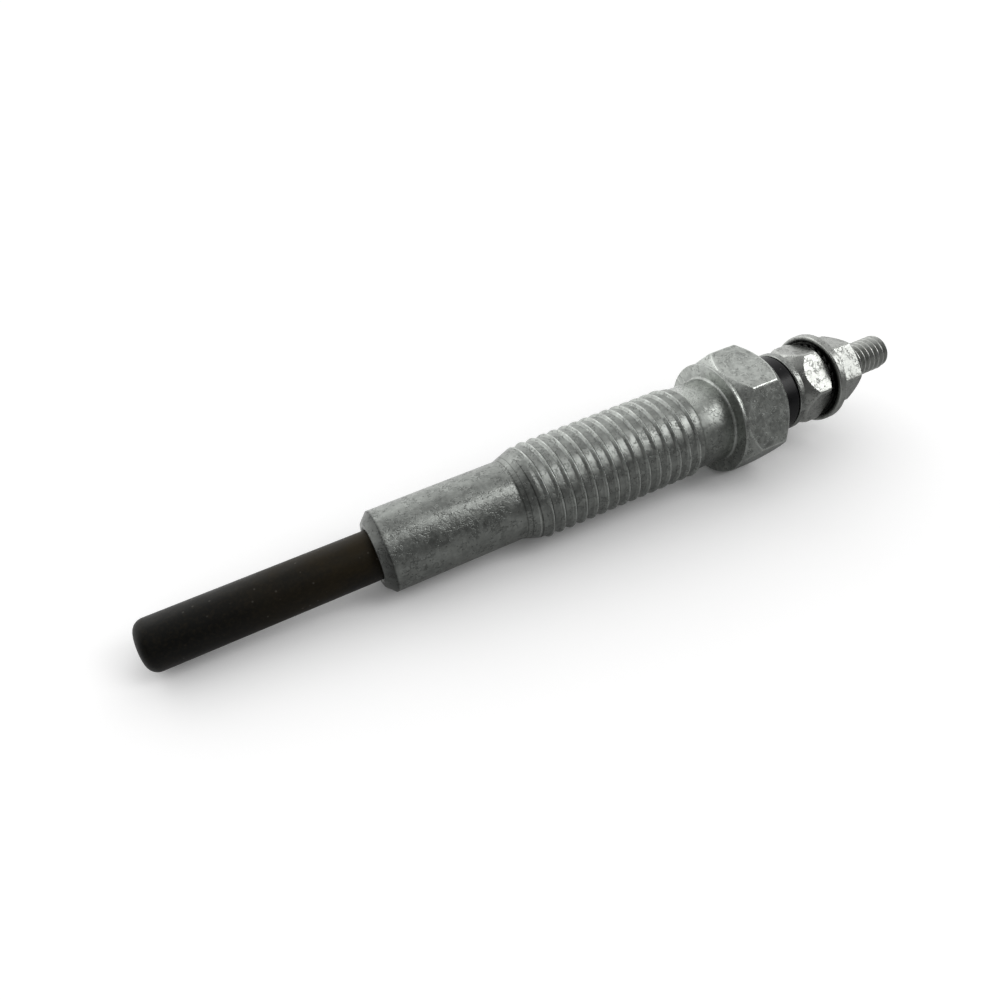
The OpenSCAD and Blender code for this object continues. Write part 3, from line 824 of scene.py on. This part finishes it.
class GLOWPLUG_OT_insulator(bpy.types.Operator):
    """Builds the moulded insulator and the flat washer on it"""
    bl_idname = "glow_plug.insulator"
    bl_label = "Insulator and washer"

    def execute(self, context):
        hole_r = settings().terminal.clamp_thread_d / 2 + 0.1 * MM
        spigot_r = settings().housing.pocket_d / 2 - 0.05 * MM
        flange_r, washer_r = radius("insulator"), radius("clamp_washer")
        angles = turn_angles(0, 20)
        bush = turned_piece("insulator_bush", outline([
            (SPIGOT_X + 0.5 * MM, hole_r, 0), (SPIGOT_X, hole_r, 0.05 * MM), (SPIGOT_X, spigot_r, 0.1 * MM),
            (HEX_REAR_X, spigot_r, 0.05 * MM), (HEX_REAR_X, flange_r, 0.12 * MM),
            (WASHER_X, flange_r, 0.3 * MM), (WASHER_X, hole_r, 0.05 * MM), (WASHER_X - 0.5 * MM, hole_r, 0)]),
            angles)
        finish_piece(bush, "moulded_black", "insulator_black", "insulator")
        mid_x = (WASHER_X + CLAMP_X) / 2
        ring = turned_piece("flat_washer", outline([
            (mid_x - 0.1 * MM, hole_r, 0), (WASHER_X, hole_r, 0.08 * MM), (WASHER_X, washer_r, 0.16 * MM),
            (CLAMP_X, washer_r, 0.16 * MM), (CLAMP_X, hole_r, 0.08 * MM), (mid_x + 0.1 * MM, hole_r, 0)]),
            angles)
        finish_piece(ring, "washer_plating", "bright_zinc", "clamp_washer")
        return {"FINISHED"}


def rear_rows(x, rear_r, hole_r, chamfer):
    """Rows of a nut's rear face, from its worn edge in to its chamfered hole."""
    return [(x, rear_r - 0.04 * MM, 0.4), (x, rear_r - 0.15 * MM, 0.0), (x, hole_r + chamfer, 0.0),
            (x - chamfer, hole_r, 0.0)]


class GLOWPLUG_OT_nuts(bpy.types.Operator):
    """Builds the clamp nut and the terminal flange nut with its locking teeth"""
    bl_idname = "glow_plug.nuts"
    bl_label = "Nuts"

    def execute(self, context):
        s = settings().terminal
        finish = "nut_plating"
        hole_r = s.clamp_thread_d / 2
        front_r, rear_r = s.clamp_af / 2 - s.clamp_front_inset, s.clamp_af / 2 - s.clamp_rear_inset
        climb, fall = math.tan(s.clamp_front_chamfer), 1 / math.tan(s.clamp_rear_chamfer)
        angles = turn_angles(s.clamp_roll, 32)
        rows = [(CLAMP_X + 0.3 * MM, hole_r, 0.0), (CLAMP_X, hole_r + 0.3 * MM, 0.0),
                (CLAMP_X, front_r - 0.1 * MM, 0.0)]
        places = spread((CLAMP_X + 0.01 * MM, 0.045 * MM), (CLAMP_X + 2.3 * MM, 0.2 * MM),
                        (TERMINAL_X - 1.0 * MM, 0.03 * MM), (TERMINAL_X - 0.01 * MM, 1))
        rows += hex_rows(angles, s.clamp_af, s.clamp_roll, places, lambda x: front_r + (x - CLAMP_X) * climb,
                         lambda x: rear_r + (TERMINAL_X - x) * fall)
        rows += rear_rows(TERMINAL_X, rear_r, hole_r, 0.3 * MM)
        clamp = turned_piece("clamp_hex_nut", rows, angles)
        finish_piece(clamp, finish, "bright_zinc", "clamp_nut")

        stud_r, flange_r = s.stud_d / 2, s.flange_d / 2
        face_x, rim_x, lip_x = (TERMINAL_X + gap for gap in (s.tooth_depth, s.flange_rim, s.flange_lip))
        back = 1 / math.tan(s.flange_slope)
        rear_r, fall = s.terminal_af / 2 - s.terminal_inset, 1 / math.tan(s.terminal_chamfer)
        angles = turn_angles(s.terminal_roll, 32)
        rows = [(face_x + 0.3 * MM, stud_r, 0.0), (face_x, stud_r + 0.3 * MM, 0.0)]
        dish_r = flange_r - s.flange_dish
        rows += outline([(face_x, stud_r + 0.9 * MM, 0), (face_x, dish_r, 0.05 * MM),
                         (lip_x, flange_r - 0.42 * MM, 0.05 * MM), (lip_x, flange_r, 0.26 * MM),
                         (rim_x, flange_r, 0.12 * MM),
                         (rim_x + 0.12 * MM, flange_r - 0.12 * MM * back, 0)])[:-1]
        places = spread((rim_x + 0.08 * MM, 0.025 * MM), (rim_x + 0.85 * MM, 0.2 * MM),
                        (STUD_ROOT_X - 0.5 * MM, 0.025 * MM), (STUD_ROOT_X - 0.01 * MM, 1))
        rows += hex_rows(angles, s.terminal_af, s.terminal_roll, places, lambda x: flange_r,
                         lambda x: rear_r + (STUD_ROOT_X - x) * fall,
                         lambda x: flange_r - (x - rim_x) * back, 0.12 * MM)
        rows += rear_rows(STUD_ROOT_X, rear_r, stud_r, 0.4 * MM)
        nut = turned_piece("terminal_flange_nut", rows, angles)

        inner_r, outer_r = stud_r + 0.9 * MM, dish_r - 0.2 * MM
        wide = s.tooth_share * 2 * math.pi / s.tooth_count
        tooth = bpy.data.meshes.new("locking_tooth")
        corners = [(x, -r * math.sin(a), r * math.cos(a)) for r in (inner_r, outer_r)
                   for x, a in ((face_x + 0.05 * MM, 0), (face_x + 0.05 * MM, wide),
                                (TERMINAL_X + 0.05 * MM, wide), (TERMINAL_X, 0.9 * wide),
                                (TERMINAL_X + 0.2 * MM, 0))]
        tooth.from_pydata(corners, [], [(0, 1, 2, 3, 4), (9, 8, 7, 6, 5)]
                          + [(k, k + 5, (k + 1) % 5 + 5, (k + 1) % 5) for k in range(5)])
        ease_mesh(tooth)
        teeth = put("locking_teeth", tooth)
        run_tree(teeth, round_tree(), finish, count=s.tooth_count)
        joined = bmesh.new()
        joined.from_mesh(nut.data)
        joined.from_mesh(teeth.data)
        joined.to_mesh(nut.data)
        joined.free()
        bpy.data.objects.remove(teeth)
        x, r = rounds(nut)
        # Painted shade on the teeth and the bearing face under the flange
        keep_values(nut.data, "groove", (x < face_x + 0.06 * MM) & (r < flange_r - 0.26 * MM))
        finish_piece(nut, finish, "bright_zinc", "terminal_nut")
        return {"FINISHED"}


class GLOWPLUG_OT_finishes(bpy.types.Operator):
    """Makes the finishes and gives the filling and the seals theirs"""
    bl_idname = "glow_plug.finishes"
    bl_label = "Finishes"

    def execute(self, context):
        f = settings().finishes
        plated_finish("housing_plating", f.plated_steel, 0.33, 0.30, 0.5)
        plated_finish("nut_plating", f.bright_zinc, 0.28, 0.12, 0.5)
        plated_finish("washer_plating", f.dull_zinc, 0.30, 0.35, 0.6)
        plated_finish("stud_plating", f.stud_steel, 0.32, 0.20, 0.35)
        sheath_finish(f.soot_black, f.heat_brown)
        soft_finish("moulded_black", f.insulator, 0.22, 0.40, 2500, 0.01 * MM, 0.25, 0.2)
        wire_finish(f.coil_wire)
        soft_finish("pressed_powder", f.magnesia, 0.80, 0.95, 5000, 0.05 * MM)
        soft_finish("soft_rubber", f.rubber, 0.55, 0.75, 4000, 0.02 * MM, 0.15)
        for name, finish in (("magnesia_filling", "pressed_powder"), ("sheath_seal", "soft_rubber"),
                             ("housing_seal", "soft_rubber")):
            paint(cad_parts[name], finish)
        return {"FINISHED"}


class GLOWPLUG_OT_stage(bpy.types.Operator):
    """Sets the pale floor, the soft lights, the white surround and the camera"""
    bl_idname = "glow_plug.stage"
    bl_label = "Stage"

    def execute(self, context):
        floor_material(settings().finishes.floor)
        lay_floor()
        set_world(context.scene)
        add_lamps()
        add_camera(context.scene)
        return {"FINISHED"}


# The stage: floor and background shades, lamps as (name, place, long side, sizes, watts), and the camera
FLOOR_HALF = 2.0
NEAR_SHADE, FLOOR_LIFT = 0.68, 0.5
OVERHEAD_GREY, ROOM_GREY = (0.50, 0.50, 0.50, 1), (0.13, 0.13, 0.13, 1)
LAMPS = (("overhead_strip", (0.85, -0.45, 1.53), (0.82, -0.36, -0.41), 1.3, 0.56, 5.6),
         ("terminal_softbox", (1.25, -0.79, 1.10), (0.82, -0.40, -0.41), 0.95, 0.85, 5.8),
         ("far_fill", (-0.4, 1.6, 1.2), (1, 0, 0), 1.2, 0.8, 2.5))
CAMERA_PLACE = Vector((-42.96, -45.75, 54.9)) * MM
CAMERA_RIGHT, CAMERA_AHEAD = Vector((0.8865, -0.4614, -0.0339)), Vector((0.2924, 0.6152, -0.7318))
SENSOR, FOCAL_SHARE, CLIP = 36.0, 0.748, (0.001, 20.0)


def floor_material(colour):
    """Pale floor that shows white to the camera and to mirrors, with a painted shade on its near side that
    only mirrors see, and keeps the shadow.
    """
    tree = blank_tree(bpy.data.materials.new("pale_floor"))
    path = node(tree, "ShaderNodeLightPath").outputs
    glossy = path["Is Glossy Ray"]
    place = node(tree, "ShaderNodeTexCoord").outputs["Object"]
    across = node(tree, "ShaderNodeSeparateXYZ", {0: place}).outputs[1]
    # A painted shade on the floor's near side, seen only by mirrors
    near_side = ramp(across, 4 * MM, -6 * MM, 0.0, NEAR_SHADE, smooth=True)
    shade = minus(1.0, times(glossy, near_side))
    plain = node(tree, "ShaderNodeBsdfDiffuse", {"Color": mixed(shade, (0, 0, 0, 1), rgba(colour))})
    open_sky = node(tree, "ShaderNodeAmbientOcclusion", {"Distance": 30 * MM}, samples=8).outputs["AO"]
    shadow = times(calc("POWER", open_sky, 1.3), times(shade, FLOOR_LIFT))
    lift = node(tree, "ShaderNodeEmission", {"Color": (1, 1, 1, 1), "Strength": shadow})
    both = node(tree, "ShaderNodeAddShader", {0: plain, 1: lift})
    seen = calc("MAXIMUM", path["Is Camera Ray"], calc("MAXIMUM", glossy, path["Is Transmission Ray"]))
    shown = node(tree, "ShaderNodeMixShader", {0: seen, 1: plain, 2: both})
    node(tree, "ShaderNodeOutputMaterial", {0: shown})


def lay_floor():
    """A floor under the two places that the plug lies on: the collar's rim and the thread's front end."""
    s = settings().housing
    rest_x, rest_z = s.hex_x, -s.face_d / 2
    front_x, front_z = -s.thread_len, -s.thread_d / 2
    slope = (rest_z - front_z) / (rest_x - front_x)
    mesh = bpy.data.meshes.new("floor")
    corners = [(x * FLOOR_HALF, y * FLOOR_HALF) for x, y in ((-1, -1), (1, -1), (1, 1), (-1, 1))]
    mesh.from_pydata([(x, y, rest_z + (x - rest_x) * slope) for x, y in corners], [], [(0, 1, 2, 3)])
    mesh.materials.append(bpy.data.materials["pale_floor"])
    floor = put("floor", mesh)


def set_world(scene):
    """White to the camera; to the plug, a white backdrop on the far side and a dim room on the near side."""
    world = bpy.data.worlds.new("studio")
    scene.world = world
    tree = blank_tree(world)
    towards = node(tree, "ShaderNodeSeparateXYZ",
                   {0: node(tree, "ShaderNodeTexCoord").outputs["Generated"]}).outputs
    far_side = ramp(towards[1], -0.25, 0.35, smooth=True)
    overhead = ramp(towards[2], 0.45, 0.95, smooth=True)
    backdrop = mixed(overhead, (1, 1, 1, 1), OVERHEAD_GREY)
    studio = mixed(far_side, ROOM_GREY, backdrop)
    seen = node(tree, "ShaderNodeLightPath").outputs["Is Camera Ray"]
    colour = mixed(seen, studio, (1, 1, 1, 1))
    background = node(tree, "ShaderNodeBackground", {"Color": colour, "Strength": 1.0})
    node(tree, "ShaderNodeOutputWorld", {0: background})


def add_lamps():
    """A strip overhead that turns to the terminal end, a softbox there, and a dim fill from the far side."""
    for name, place, along, size_x, size_y, watts in LAMPS:
        lamp = bpy.data.lights.new(name, "AREA")
        lamp.shape = "RECTANGLE"
        lamp.size, lamp.size_y = size_x, size_y
        lamp.energy = watts
        back = Vector(place).normalized()
        side = (Vector(along) - back * back.dot(Vector(along))).normalized()
        turn = Matrix((side, back.cross(side), back)).transposed().to_4x4()
        put(name, lamp).matrix_world = Matrix.Translation(place) @ turn


def add_camera(scene):
    """The camera at the photograph's viewing angle, close to the plug."""
    ahead = CAMERA_AHEAD.normalized()
    up = CAMERA_RIGHT.normalized().cross(ahead).normalized()
    right = ahead.cross(up)
    lens = bpy.data.cameras.new("camera")
    lens.sensor_width = SENSOR
    lens.lens = SENSOR * FOCAL_SHARE
    lens.clip_start, lens.clip_end = CLIP
    camera = put("camera", lens)
    turn = Matrix((right, up, -ahead)).transposed().to_4x4()
    camera.matrix_world = Matrix.Translation(CAMERA_PLACE) @ turn
    scene.camera = camera
    scene.view_settings.view_transform = "Standard"


class GLOWPLUG_PT_panel(bpy.types.Panel):
    """Lists the glow plug's pieces"""
    bl_idname = "GLOWPLUG_PT_panel"
    bl_label = "Glow Plug"
    bl_space_type = "VIEW_3D"
    bl_region_type = "UI"
    bl_category = "Glow Plug"

    def draw(self, context):
        for operator in OPERATORS:
            self.layout.operator(operator.bl_idname)
        for group in ("housing", "heater", "terminal", "finishes"):
            box = self.layout.box()
            box.label(text=group.capitalize())
            values = getattr(settings(), group)
            for key in values.__annotations__:
                box.prop(values, key)


OPERATORS = (GLOWPLUG_OT_finishes, GLOWPLUG_OT_housing, GLOWPLUG_OT_heater, GLOWPLUG_OT_rod,
             GLOWPLUG_OT_insulator, GLOWPLUG_OT_nuts, GLOWPLUG_OT_stage)
CLASSES = (GlowPlugHousingSizes, GlowPlugHeaterSizes, GlowPlugTerminalSizes, GlowPlugFinishes,
           GlowPlugSettings) + OPERATORS + (GLOWPLUG_PT_panel,)


def register():
    """Registers the classes and the scene's settings."""
    for made in CLASSES:
        bpy.utils.register_class(made)
    bpy.types.Scene.glow_plug = pointer(GlowPlugSettings, "Glow plug")


def unregister():
    """Removes the settings and the classes."""
    del bpy.types.Scene.glow_plug
    for made in reversed(CLASSES):
        bpy.utils.unregister_class(made)


def main():
    """Builds every piece in order."""
    register()
    bpy.ops.glow_plug.finishes()
    bpy.ops.glow_plug.housing()
    bpy.ops.glow_plug.heater()
    bpy.ops.glow_plug.rod()
    bpy.ops.glow_plug.insulator()
    bpy.ops.glow_plug.nuts()
    bpy.ops.glow_plug.stage()


if __name__ == "__main__":
    main()
